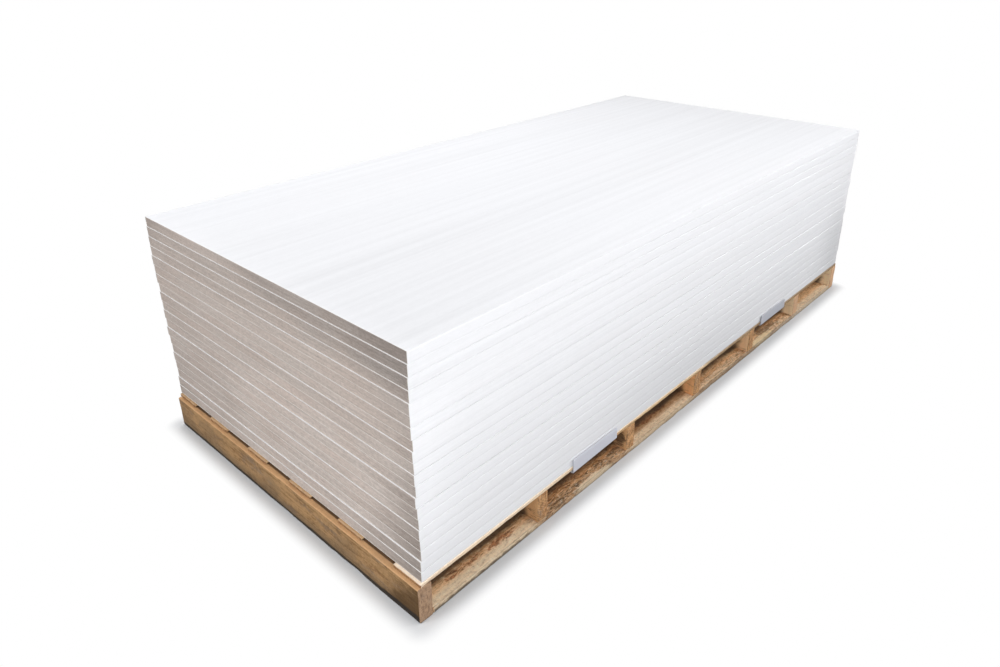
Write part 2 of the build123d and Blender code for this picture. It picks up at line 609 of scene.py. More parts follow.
def base_stains(f, here, wood, blotch, streak):
    """Stains of the base boards.

    All along them there are cracks and swirls of dark and pale grain, small spots, a front edge
    darkened by dirt and painted shade, warmer wood further in and painted shade deep inside. By
    place there are black torn grain, warm wood and a cream patch in the second bay, a yellowed
    patch and a dark stain under the far guard, painted light on the front part of the top in the
    first, third and last bay, rusty streaks in the first and third, brown further in in the second
    and third, and dirt with painted contact shadow on the foot by the near end."""
    x, y, level = f.parts(here)
    ragged = (blotch - 0.5) * 2.6 + (streak - 0.5) * 1.4
    chips = f.drawn(here, (45.0, 80.0, 80.0), 4.0, 0.7)
    rough = (chips - 0.5) * 3.0
    reddish = f.fade(blotch + streak * 0.5, 0.78, 0.90)
    wood = f.mix(reddish * 0.45, wood, REDDISH)
    cracks = f.drawn(here, (22.0, 150.0, 150.0), 5.0, 0.72)
    wood = f.grained(wood, cracks, BASE_CRACKS)

    torn = f.patch(here, (-0.70, -0.575, 0.018), (0.13, 0.028, 0.03), ragged + rough)
    wood = f.mix(torn * f.fade(cracks, 0.44, 0.54) * 0.9, wood, TORN_GRAIN)
    warm = f.fade(x, -0.87, -0.78) * f.fade(x, -0.35, -0.45)
    wood = f.mix(warm * 0.5, wood, f.mix(blotch, WARM_PALE, WARM_DARK))
    swirl = f.drawn(here, (30.0, 85.0, 85.0), 3.0, 0.6, distortion=1.6)
    gnarled = warm * 0.48 + 0.35
    wood = f.mix(f.fade(swirl, 0.51, 0.60) * gnarled, wood, GNARLED_DARK)
    wood = f.mix(f.fade(swirl, 0.46, 0.38) * gnarled * 0.8, wood, GNARLED_PALE)

    cream = f.patch(here, (-0.57, -0.598, 0.016), (0.09, 0.010, 0.02), ragged)
    wood = f.mix(cream * 0.85, wood, CREAM)
    yellowed = f.patch(here, (0.54, -0.590, 0.018), (0.11, 0.016, 0.03), ragged)
    wood = f.mix(yellowed * 0.8, wood, YELLOWED)
    stain = f.patch(here, (0.64, -0.566, 0.018), (0.09, 0.012, 0.03), ragged + rough)
    wood = f.mix(stain * 0.6, wood, BLACK_STAIN)

    # Painted light on the front part of the base's top in the first, third and last bay
    first = f.fade(x, -0.80, -0.87)
    third = f.fade(x, -0.43, -0.37) * f.fade(x, 0.05, 0.0)
    last = f.fade(x, 0.80, 0.88)
    painted_light_in_bays = (first + third + last) * f.fade(y, -0.545, -0.575)
    wood = f.mix(painted_light_in_bays * (first * 0.28 + 0.5), wood, CREAM)
    spots = f.drawn(here, (60.0, 110.0, 110.0), 5.0, 0.8)
    wood = f.mix(f.fade(spots, 0.50, 0.66) * 0.52, wood, SPOT_DARK)
    wood = f.mix(f.fade(spots, 0.48, 0.37) * (first * 0.25 + 0.55), wood, SPOT_PALE)

    rust = f.mix(f.fade(spots, 0.45, 0.55), RUST_PALE, RUST_DARK)
    for place, across, reach in RUSTY_STREAKS:
        rusty = f.patch(here, (place, across, 0.018), (reach, 0.010, 0.03), ragged + rough)
        wood = f.mix(rusty * (f.fade(swirl, 0.42, 0.52) * 0.55 + 0.25), wood, rust)
    for start, end, inwards, share in BROWN_BAYS:
        bay = f.fade(x, start - 0.02, start + 0.02) * f.fade(x, end + 0.02, end - 0.02)
        browner = bay * f.fade(y + rough * 0.004, inwards, inwards + 0.015) * share
        wood = f.mix(browner, wood, HOLLOW_BROWN)

    # The front face is darker: dirt with painted shade
    front = f.fade(y, -0.5925, -0.5980)
    dull = front * (f.fade(x, -0.05, 0.10) * f.fade(x, 1.2, 0.6) * 0.24 + 0.36)
    wood = f.mix(dull, wood, f.mix(f.fade(x, 0.4, 0.9), FRONT_SHADE_BROWN, FRONT_SHADE_GREY))
    # Dirt with painted contact shadow on the foot by the near end
    along = f.patch(here, (-1.06, -0.600, 0.010), (0.20, 0.10, 0.10), ragged * 0.4)
    dirt_and_contact_shadow = f.fade(level + rough * 0.008, 0.0140, 0.0075) * front * along
    wood = f.mix(dirt_and_contact_shadow * 0.74, wood, FOOT_DIRT_AND_SHADOW)
    wood = f.mix(f.fade(y, -0.582, -0.562), wood, WARM_TINT, "MULTIPLY")
    # Painted shade deep inside the bays
    bay_shade = painted_shade_in_bay(f, y, ragged, 0.562) * (f.fade(x, 1.0, 0.8) * 0.75 + 0.25)
    return f.mix(bay_shade * 0.88, wood, BASE_BAY_SHADE)


# Colours of the bearers
MOTTLE_BROWN = (0.16, 0.095, 0.055)
SMEAR_BROWN = (0.11, 0.085, 0.06)
LOW_BROWN = (0.115, 0.085, 0.055)
CORNER_BROWN = (0.055, 0.027, 0.007)
# Dirt with painted contact shadow at the foot
FOOT_BLACK_AND_SHADOW = (0.012, 0.009, 0.007)
# Tans of the faces inside the bays, the far one paler as painted light
TAN_NEAR = (0.88, 0.50, 0.24)
TAN_MIDDLE = (1.0, 0.50, 0.21)
TAN_FAR_PAINTED_LIGHT = (1.0, 0.76, 0.49)
INNER_CRACK = (0.10, 0.045, 0.02)
DARK_PLACE = (0.055, 0.030, 0.016)
# Painted light on the sawn tops, and a painted shadow where the stack overhangs them
SAWN_TOP_PAINTED_LIGHT = (0.72, 0.43, 0.22)
TOP_SHADOW = (0.06, 0.03, 0.015)
END_WEATHERED = (0.37, 0.262, 0.190)
END_PINKISH = (0.88, 0.58, 0.38)

# Tones of the scratches of the bearers and of the flecks on their ends
SCRATCHES = ((0.57, 0.68, 0.45, (0.17, 0.105, 0.06)), (0.43, 0.33, 0.35, (0.60, 0.39, 0.21)))
FLECKS = ((0.48, 0.64, 0.65, (0.15, 0.085, 0.050)), (0.44, 0.34, 0.5, (0.55, 0.38, 0.25)))

# Smears on the near end's outer face: place across it, height and half width
SMEARS = ((0.59, 0.058, 0.08), (0.40, 0.055, 0.07), (0.05, 0.05, 0.05), (-0.30, 0.05, 0.05))


def bearer_stains(f, here, wood, blotch, streak):
    """Marks of the bearers.

    All of them are mottled, with upright scratches and painted light on their sawn tops, which have
    a painted shadow where the stack overhangs them. The near end's outer face is smeared, darker
    towards the floor and the near corner, and black at its foot from dirt and painted contact
    shadow. The faces inside the bays are a tan with painted light that makes it paler further
    along, with cracks, painted shade deep inside and one dark place on the third bearer."""
    x, y, level = f.parts(here)
    ragged = (blotch - 0.5) * 2.4 + (streak - 0.5) * 1.2
    mottle = f.fade(blotch + streak * 0.9, 0.93, 1.12)
    wood = f.mix(mottle * 0.45, wood, MOTTLE_BROWN)
    scratches = f.drawn(here, (1.0, 150.0, 60.0), 4.0, 0.75)
    wood = f.grained(wood, scratches, SCRATCHES)

    for place, high, wide in SMEARS:
        smear = f.patch(here, (-1.26, place, high), (0.03, wide, 0.030), ragged * 2.4)
        wood = f.mix(smear * 0.30, wood, SMEAR_BROWN)
    low = f.fade(level + ragged * 0.010, 0.055, 0.014)
    wood = f.mix(low * 0.55, wood, LOW_BROWN)
    corner = f.patch(here, (-1.26, -0.66, 0.00), (0.03, 0.19, 0.12), ragged * 0.5)
    wood = f.mix(corner * 0.84, wood, CORNER_BROWN)
    # Black at the foot: dirt with painted contact shadow
    higher = f.fade(y, -0.30, -0.62) * 0.008
    foot_dirt_and_shadow = f.fade(level + ragged * 0.006 - higher, 0.0165, 0.0085)
    wood = f.mix(foot_dirt_and_shadow * 0.95, wood, FOOT_BLACK_AND_SHADOW)

    in_bays = f.fade(x, -1.235, -1.225) * f.fade(x, 1.240, 1.230)
    inner = f.fade(x, -1.20, -1.10) * in_bays
    # The tan grows paler further along, with fewer cracks: painted light
    middle = f.fade(x, -0.35, -0.05)
    far = f.fade(x, -0.2, 0.9)
    tan = f.mix(far, f.mix(middle, TAN_NEAR, TAN_MIDDLE), TAN_FAR_PAINTED_LIGHT)
    wood = f.mix(inner * (middle * 0.22 + far * 0.12 + 0.62), wood, tan)
    cracks = f.drawn(here, (150.0, 20.0, 130.0), 4.0, 0.7)
    cracked = f.fade(cracks, 0.55, 0.65) * inner * (0.8 - middle * 0.30 - far * 0.30)
    wood = f.mix(cracked, wood, INNER_CRACK)
    # A dark place on the third bearer's inner face
    dark_place = f.patch(here, (-0.415, -0.570, 0.055), (0.012, 0.026, 0.030), ragged * 0.8)
    wood = f.mix(dark_place * 0.8, wood, DARK_PLACE)

    # Painted light on the sawn tops
    painted_top_light = f.fade(level + (blotch - 0.5) * 0.003, 0.1015, 0.1040)
    wood = f.mix(painted_top_light * 0.72, wood, SAWN_TOP_PAINTED_LIGHT)
    # Painted shadow on the bearers' tops where the stack overhangs them
    painted_shadow_under_stack = f.fade(x, -1.2470, -1.2435) * f.fade(level, 0.1040, 0.1050)
    wood = f.mix(painted_shadow_under_stack * 0.85, wood, TOP_SHADOW)
    # Painted shade deep inside the bays
    bay_shade = painted_shade_in_bay(f, y, ragged, 0.572) * in_bays
    return f.mix(bay_shade * 0.85, wood, TIMBER_BAY_SHADE)


def bearer_end_stains(f, here, wood, blotch, streak):
    """Marks of the bearers' ends: flecks, with the first end weathered a mottled greyish
    brown and the last two a paler pinkish tan."""
    x, _, _ = f.parts(here)
    first = f.fade(x, -1.10, -1.20)
    wood = f.mix(first * 0.7, wood, END_WEATHERED)
    wood = f.grained(wood, f.drawn(here, (210.0, 1.0, 75.0), 4.0, 0.75), FLECKS)
    last = f.fade(x, 0.7, 0.8)
    return f.mix(last * 0.55, wood, END_PINKISH)


# Colours of the deck boards
TOP_BROWN = (0.42, 0.26, 0.14)
TOP_CREAM = (0.88, 0.74, 0.60)
# Painted highlight along the upper edge of the deck's ends
END_EDGE_HIGHLIGHT = (0.60, 0.42, 0.26)
NEAR_PALE = (1.0, 0.86, 0.70)
WORN_BROWN = (0.16, 0.10, 0.055)


def deck_stains(f, here, wood, blotch, streak):
    """Marks of the deck boards: brown tops, cream on the near board, which is paler by the near
    end. All of them are worn beyond the middle of the pallet, and inside the bays their undersides
    have painted shade."""
    x, y, level = f.parts(here)
    top = f.fade(level + (blotch - 0.5) * 0.002, 0.1155, 0.1170)
    near = f.fade(y, -0.49, -0.51)
    wood = f.mix(top * 0.8, wood, f.mix(near, TOP_BROWN, TOP_CREAM))
    pale = f.fade(x, -0.45, -0.85) * near
    wood = f.mix(pale * 0.5, wood, NEAR_PALE)
    worn = f.fade(x + (blotch - 0.5) * 0.5, -0.05, 0.25)
    wood = f.mix(worn * 0.64, wood, WORN_BROWN)
    # Painted shade on the undersides inside the bays
    bay_shade = painted_shade_in_bay(f, y, blotch - 0.5, 0.575) * f.fade(level, 0.1120, 0.1075)
    return f.mix(bay_shade * 0.85, wood, TIMBER_BAY_SHADE)


def deck_end_stains(f, here, wood, blotch, streak):
    """Marks of the deck's end grain: brown, with a painted highlight along its upper edge, and
    cream there on the near board."""
    _, y, level = f.parts(here)
    # Painted highlight along the upper edge
    top = f.fade(level + (blotch - 0.5) * 0.002, 0.1150, 0.1165)
    near = f.fade(y, -0.49, -0.51)
    return f.mix(top * 0.8, wood, f.mix(near, END_EDGE_HIGHLIGHT, TOP_CREAM))


def card_finish(looks):
    """Pale grey laminated card with a faint lengthwise ply pattern and rubbed places, which are
    paler at the cut edges, partly from wear and partly as a painted highlight. The far guard is
    darker."""
    f = Finish(bpy.data.materials.new("guard_card"))
    x, _, _ = f.parts(f.here())
    place = f.mark("sheet_place")
    fold = f.mark("fold", "Fac")
    cloud = f.noise(place, 18.0, 3.0)
    fibre = f.noise(place, 900.0, 2.0, 0.6)
    ply = f.drawn(place, (3.0, 160.0, 160.0), 2.0)
    # Rubbed places, paler at the cut edges partly as a painted highlight
    rubbed_and_highlit = f.fade(fold + (cloud - 0.5) * 0.5, 0.75, 1.05)
    card = f.mix(rubbed_and_highlit * 0.7, looks.card, looks.card_edge)
    shade = 0.88 + cloud * 0.10 + fibre * 0.06 + ply * 0.06 - f.fade(x, 0.0, 0.3) * 0.20
    height = fibre * 0.5 + ply * 0.5
    colour = f.shade(card, shade)
    return f.surface(colour, 0.6 + fibre * 0.15, height, depth=0.0002, specular=0.3)


# Colours of the nail heads
STEEL = (0.30, 0.29, 0.28)
NAIL_RUST = (0.17, 0.075, 0.035)


def nail_finish():
    """Steel nail head, dull and partly rusted."""
    f = Finish(bpy.data.materials.new("nail_steel"))
    rust = f.fade(f.noise(f.here(), 700.0, 4.0, 0.7), 0.45, 0.6)
    colour = f.mix(rust, STEEL, NAIL_RUST)
    return f.surface(colour, 0.42 + rust * 0.4, rust, depth=0.0002, specular=0.5)


# Sizes and colours that a user may change


def colour_property(name, description, default):
    """A colour setting of three numbers."""
    return bpy.props.FloatVectorProperty(
        name=name, description=description, default=default, size=3, subtype="COLOR",
        min=0.0, max=1.0,
    )


def length_property(name, description, default):
    """A length setting in metres."""
    return bpy.props.FloatProperty(
        name=name, description=description, default=default, unit="LENGTH", precision=5
    )


class BoardLooks(bpy.types.PropertyGroup):
    """Sizes and colours of the boards."""

    edge_radius: length_property("Edge radius", "Radius of the wrapped long edges", 0.0006)
    facing: length_property("Facing", "Thickness of the paper facing at a cut end", 0.00045)
    waviness: length_property("Waviness", "How far the long edges stray", 0.0003)
    paper: colour_property("Paper", "White of the facing", (0.912, 0.912, 0.935))
    paper_cool: colour_property("Cool paper", "Cooler white of the facing", (0.895, 0.905, 0.935))
    core: colour_property("Core", "Grey beige of the cut core", (0.56, 0.495, 0.455))
    core_warm: colour_property("Warm core", "Warmer parts of the core", (0.545, 0.465, 0.42))
    facing_edge: colour_property("Facing edge", "Cut edge of the facing", (0.78, 0.75, 0.72))


class TimberLooks(bpy.types.PropertyGroup):
    """Sizes and colours of the pallet's timber."""

    slack: length_property("Slack", "How far a rough face lies inside its sawn size", 0.0006)
    arris: length_property("Arris", "Radius of a sawn edge before wear", 0.0018)
    bearer_early: colour_property(
        "Bearer, light", "Light wood of the bearers", (0.44, 0.265, 0.125)
    )
    bearer_late: colour_property(
        "Bearer, dark", "Dark grain of the bearers", (0.245, 0.135, 0.055)
    )
    bearer_end_early: colour_property(
        "Bearer end, light", "Light wood of the bearers' ends", (0.68, 0.39, 0.185)
    )
    bearer_end_late: colour_property(
        "Bearer end, dark", "Dark grain of the bearers' ends", (0.38, 0.19, 0.08)
    )
    deck_early: colour_property("Deck, light", "Light wood of the deck", (0.76, 0.56, 0.34))
    deck_late: colour_property("Deck, dark", "Dark grain of the deck", (0.58, 0.37, 0.19))
    deck_end_early: colour_property(
        "Deck end, light", "Light wood of the deck's ends", (0.40, 0.22, 0.10)
    )
    deck_end_late: colour_property(
        "Deck end, dark", "Dark grain of the deck's ends", (0.22, 0.11, 0.05)
    )
    base_early: colour_property("Base, light", "Light wood of the base", (0.88, 0.62, 0.39))
    base_late: colour_property("Base, dark", "Dark grain of the base", (0.52, 0.27, 0.12))
    weathered: colour_property("Weathered", "Grey of weathered wood", (0.24, 0.20, 0.16))
    resin: colour_property("Resin", "Reddish streaks in the wood", (0.34, 0.14, 0.06))
    crack: colour_property("Crack", "Dark brown of cracks and torn grain", (0.075, 0.04, 0.02))
    knot: colour_property("Knot", "Dark brown of a knot", (0.13, 0.06, 0.03))
    grime: colour_property("Grime", "Dirt near the floor", (0.07, 0.06, 0.05))


class GuardLooks(bpy.types.PropertyGroup):
    """Sizes and colours of the card guards."""

    droop: length_property("Droop", "How far a guard's upper edge runs down", 0.003)
    hang: length_property("Hang", "How much lower the fold hangs at the near end", 0.005)
    wave: length_property("Wave", "How far the card bulges", 0.0012)
    card: colour_property("Card", "Pale grey of the card", (0.655, 0.665, 0.735))
    card_edge: colour_property("Card edge", "Rubbed edge of the card", (0.86, 0.85, 0.86))


class StageLooks(bpy.types.PropertyGroup):
    """Lamps, floor and camera."""

    sky: bpy.props.FloatProperty(name="Sky", description="Strength of the even light", default=0.10)
    lamps: bpy.props.FloatProperty(
        name="Lamps", description="Strength of all the lamps together", default=1.0
    )
    floor_bounce: bpy.props.FloatProperty(
        name="Floor bounce", description="Share of light that the floor gives back", default=0.15,
        min=0.0, max=1.0, subtype="FACTOR",
    )
    lens: bpy.props.FloatProperty(
        name="Lens", description="Focal length in millimetres", default=26.855
    )


# Boards

# Material slots of a board
PAPER = 0
CORE = 1
FACING_EDGE = 2

# Distance between the rows along a board, and the steps round it: of each edge, across a
# face and up a side
BOARD_ROW_STEP = 0.042
BOARD_LOOP_STEPS = (4, 26, 3)

# How far a board's faces lie inside its solid, so that two boards never share a face
BOARD_CLEARANCE = 0.00008

# Insets of the core's loops at a cut end, after the one on the board's middle line
CORE_INSETS = (0.0132, 0.0104, 0.0076, 0.0048, 0.0026)

# How far the core's outermost loop lies inside the paper's cut edge, and behind it
CORE_LIP = 0.0004

# How far the core lies behind the paper's cut edge, how much its pits add or take away,
# and their wavelength
CORE_DEPTH = 0.0004
PIT_DEPTH = 0.0003
PIT_LENGTH = 0.07

# Rounded outer edge of the paper at a cut end: pairs of distance back from the end and inset
PAPER_RIM = ((0.0001, 0.0002), (0.0007, 0.0))

# The long edges stray in waves of this length, and points nearer to the board's middle than
# the reach stray less
STRAY_LENGTH = 0.55
STRAY_REACH = 0.25

# The faces sink by up to twice this share of the thickness, in waves of this length
SINK_SHARE = 0.004
SINK_LENGTH = 0.40

# How far a board's pattern is shifted at most, so that no two boards look alike
BOARD_SHIFT = 40


class BOARDS_OT_fire_boards(bpy.types.Operator):
    """Make the twenty boards, each with wrapped long edges and cut ends"""

    bl_idname = "boards.fire_boards"
    bl_label = "Fire-resistant boards"

    def execute(self, context):
        looks = context.scene.board_looks
        finishes = [paper_finish(looks), core_finish(looks), facing_edge_finish(looks)]
        for number in range(1, BOARD_COUNT + 1):
            self.board(number, looks, finishes)
        return {"FINISHED"}

    def board(self, number, looks, finishes):
        """One board: loops round its section carried along its length. Its long edges stray
        by smooth noise, and the core lies a little behind the paper at both cut ends."""
        node = f"fire_board_{number:02d}"
        centre, half = half_sizes(node)
        rng = np.random.default_rng(BOARD_SEED + number)
        half_up = half[2] - BOARD_CLEARANCE
        half_across = half[1] - looks.waviness
        core_insets = [half_up, *CORE_INSETS]
        rim = [(CORE_LIP, looks.facing + CORE_LIP), (0.0, looks.facing), *PAPER_RIM]
        along, insets = bar_rows(half[0], BOARD_ROW_STEP, rim, core_insets)
        radii = np.full((len(along), 4), looks.edge_radius)
        loops = rounded_loops(half_across, half_up, insets, radii, *BOARD_LOOP_STEPS)
        across, up = loops[..., 0], loops[..., 1]
        along = np.repeat(along[:, None], loops.shape[1], 1)
        place = np.stack([along, across, up], -1)

        in_core = (insets > looks.facing + CORE_LIP / 2)[:, None]
        pits = smooth_noise(place * (0.2, 1.0, 6.0), PIT_LENGTH, BOARD_SEED + number)
        along = along - np.sign(along) * np.where(in_core, CORE_DEPTH + PIT_DEPTH * pits, 0.0)
        stray = smooth_noise(place * (1.0, 0.01, 0.01), STRAY_LENGTH, STRAY_SEED + number)
        outwards = np.sign(across) * np.minimum(1, np.abs(across) / STRAY_REACH)
        across = across + outwards * stray * looks.waviness
        sink = smooth_noise(place * (1.0, 1.0, 0.01), SINK_LENGTH, SINK_SEED + number)
        up = up * (1 + SINK_SHARE * (sink - 1))
        points = lay_out(across, up, along, "X") + centre

        end = [CORE] * len(core_insets) + [FACING_EDGE] * (len(rim) - 1)
        strips = end + [PAPER] * (len(insets) - 1 - 2 * len(end)) + end[::-1]
        marks = {
            "sheet_place": place + rng.uniform(-BOARD_SHIFT, BOARD_SHIFT, 3),
            "tone": np.full(across.shape, rng.uniform(0, 1)),
        }
        piece = skin(f"board_{number:02d}", points, np.array(strips), marks)
        settle(piece, finishes, node)


# Timbers

# Material slots of a timber
SAWN_SIDE = 0
SAWN_END = 1

# Distance between the rows along a timber, and the steps round it
TIMBER_ROW_STEP = 0.014
TIMBER_LOOP_STEPS = (3, 10, 4)

# Insets of the loops of a sawn end, as shares of half the thickness, and its worn edge:
# pairs of distance back from the end and inset
END_SHARES = (1.0, 0.8, 0.55, 0.3)
TIMBER_RIM = ((0.0, 0.0019), (0.0004, 0.0008), (0.0016, 0.0))

# Chips of an edge: wavelengths of their two noises, and the sum at which a chip starts
CHIP_LENGTHS = (0.16, 0.04)
CHIP_START = 0.55

# What a full chip adds to the radius of an edge, less on the thin deck, and the largest
# radius as a share of half the thickness
FULL_CHIP = 0.004
DECK_CHIP = 0.002
LARGEST_RADIUS = 0.8

# Unevenness of a timber's faces: its wavelength, and its depth as a share of the slack
FACE_LENGTH = 0.045
FACE_SHARE = 0.9

# Place of the pith, round which the growth rings run: how far the grain is shifted along it
# at most, and how far it lies beside and above the timber's middle, as shares of half the
# width and of half the height
GRAIN_SHIFT = 30
PITH_BESIDE = (0.2, 0.9)
PITH_ABOVE = (0.6, 1.8)

# Half height that counts for the pith where a timber is thinner than that
PITH_LEAST = 0.02


def timber(name, axis, looks, seed, finishes, full_chip):
    """A rough timber bar in the place of the pallet's node of that name.

    Loops round its section are carried along its length. Each of the four edges has its own
    radius, which smooth noise makes larger where the edge is chipped, and three more noises
    push every point a little off the flat."""
    node = f"pallet_{name}"
    centre, half = half_sizes(node)
    if axis == "Y":
        half = half[[1, 0, 2]]
    half = half - looks.slack
    lying = half[1] >= half[2]
    wide, thin = (half[1], half[2]) if lying else (half[2], half[1])
    rng = np.random.default_rng(seed)
    end_insets = [thin * share for share in END_SHARES]
    along, insets = bar_rows(half[0], TIMBER_ROW_STEP, TIMBER_RIM, end_insets)
    line = np.stack([along, 0 * along, 0 * along], -1)
    radii = []
    for edge in range(4):
        chip = smooth_noise(line, CHIP_LENGTHS[0], seed + 11 + edge)
        chip = chip + smooth_noise(line, CHIP_LENGTHS[1], seed + 21 + edge)
        radii.append(looks.arris + np.clip(chip - CHIP_START, 0, 1) * full_chip)
    radii = np.minimum(np.stack(radii, 1), thin * LARGEST_RADIUS)
    loops = rounded_loops(wide, thin, insets, radii, *TIMBER_LOOP_STEPS)
    first, second = loops[..., 0], loops[..., 1]
    across, up = (first, second) if lying else (second, -first)
    along = np.repeat(along[:, None], loops.shape[1], 1)
    place = np.stack([along, across, up], -1)
    coarse = place * (0.25, 1.0, 1.0)
    push = [smooth_noise(coarse, FACE_LENGTH, seed + 31 + side) for side in range(3)]
    moved = place + looks.slack * FACE_SHARE * np.stack(push, -1)
    points = lay_out(moved[..., 1], moved[..., 2], moved[..., 0], axis) + centre
    end = [SAWN_END] * (len(end_insets) + len(TIMBER_RIM) - 1)
    strips = end + [SAWN_SIDE] * (len(insets) - 1 - 2 * len(end)) + end
    from_pith = np.array([
        rng.uniform(-GRAIN_SHIFT, GRAIN_SHIFT),
        rng.uniform(*PITH_BESIDE) * rng.choice([-1, 1]) * half[1],
        -rng.uniform(*PITH_ABOVE) * max(half[2], PITH_LEAST),
    ])
    marks = {
        "grain_place": place + from_pith,
        "tone": np.full(across.shape, rng.uniform(0, 1)),
    }
    piece = skin(name, points, np.array(strips), marks)
    settle(piece, finishes, node)


def timbers(kind, places, axis, looks, first_seed, finishes, full_chip=FULL_CHIP):
    """All the timbers of one kind, named after it and their number or place."""
    for number, place in enumerate(places, 1):
        seed = first_seed + SEED_STEP * number
        timber(f"{kind}_{place}", axis, looks, seed, finishes, full_chip)


class BOARDS_OT_bearers(bpy.types.Operator):
    """Make the seven bearers that stand across the pallet"""

    bl_idname = "boards.bearers"
    bl_label = "Pallet bearers"

    def execute(self, context):
        looks = context.scene.timber_looks
        sides = (looks.bearer_early, looks.bearer_late)
        ends = (looks.bearer_end_early, looks.bearer_end_late)
        marks = bearer_end_stains
        finishes = [
            timber_finish("bearer_timber", looks, *sides, bearer_stains, wear=0.5, figure=0.55),
            timber_finish("bearer_end_grain", looks, *ends, marks, wear=0.6, figure=0.8),
        ]
        timbers("bearer", range(1, BEARER_COUNT + 1), "Y", looks, BEARER_SEED, finishes)
        return {"FINISHED"}


class BOARDS_OT_deck_boards(bpy.types.Operator):
    """Make the six long boards of the pallet's deck"""

    bl_idname = "boards.deck_boards"
    bl_label = "Pallet deck"

    def execute(self, context):
        looks = context.scene.timber_looks
        sides = (looks.deck_early, looks.deck_late)
        ends = (looks.deck_end_early, looks.deck_end_late)
        finishes = [
            timber_finish("deck_timber", looks, *sides, deck_stains, wear=0.3, figure=0.6),
            timber_finish("deck_end_grain", looks, *ends, deck_end_stains, wear=0.4, figure=0.6),
        ]
        places = range(1, DECK_BOARD_COUNT + 1)
        timbers("deck_board", places, "X", looks, DECK_SEED, finishes, DECK_CHIP)
        return {"FINISHED"}


class BOARDS_OT_base_boards(bpy.types.Operator):
    """Make the boards that the pallet stands on"""

    bl_idname = "boards.base_boards"
    bl_label = "Pallet base"

    def execute(self, context):
        looks = context.scene.timber_looks
        colours = (looks.base_early, looks.base_late)
        finishes = [
            timber_finish("base_timber", looks, *colours, base_stains, wear=0.5, figure=0.45),
            timber_finish("base_end_grain", looks, *colours, wear=0.6, figure=0.9),
        ]
        timbers("base_board", BASE_BOARDS, "X", looks, BASE_SEED, finishes)
        return {"FINISHED"}


# Guards

# How much of the hang each guard has
HANGING = (1.0, 0.1)

GUARD_THICKNESS = 0.0034
FOLD_RADIUS = 0.0035
GUARD_ROW_STEP = 0.008

# Rounded ends of a guard: pairs of distance back from the end and inset
GUARD_RIM = ((0.0002, GUARD_THICKNESS * 0.2), (0.0009, 0.0))

# How far the card lies inside its solid, at its faces and at its cut edges
FACE_CLEARANCE = 0.0002
EDGE_CLEARANCE = 0.0005

# Points of the section's middle line: down the outer leg, inwards, and round the fold
LEG_POINTS = 12
INNER_POINTS = 10
FOLD_POINTS = 7

# Thickness of the section's first two and last two points, as shares of the whole
LEG_END_SHARES = (0.25, 0.75)

# Wavelength of the outer leg's bulge
BULGE_LENGTH = 0.09

# Rubbed places: how far past the outer leg the fold is rubbed most, how wide that is, and how far
# the rubbing, which at the cut edges is partly a painted highlight, reaches in from the cut edges
# and from the ends
RUBBED_FOLD = 0.003
RUBBED_WIDTH = 0.004
RUBBED_EDGE = 0.0012
RUBBED_END = 0.001

# How far a guard's pattern is shifted at most
GUARD_SHIFT = 20


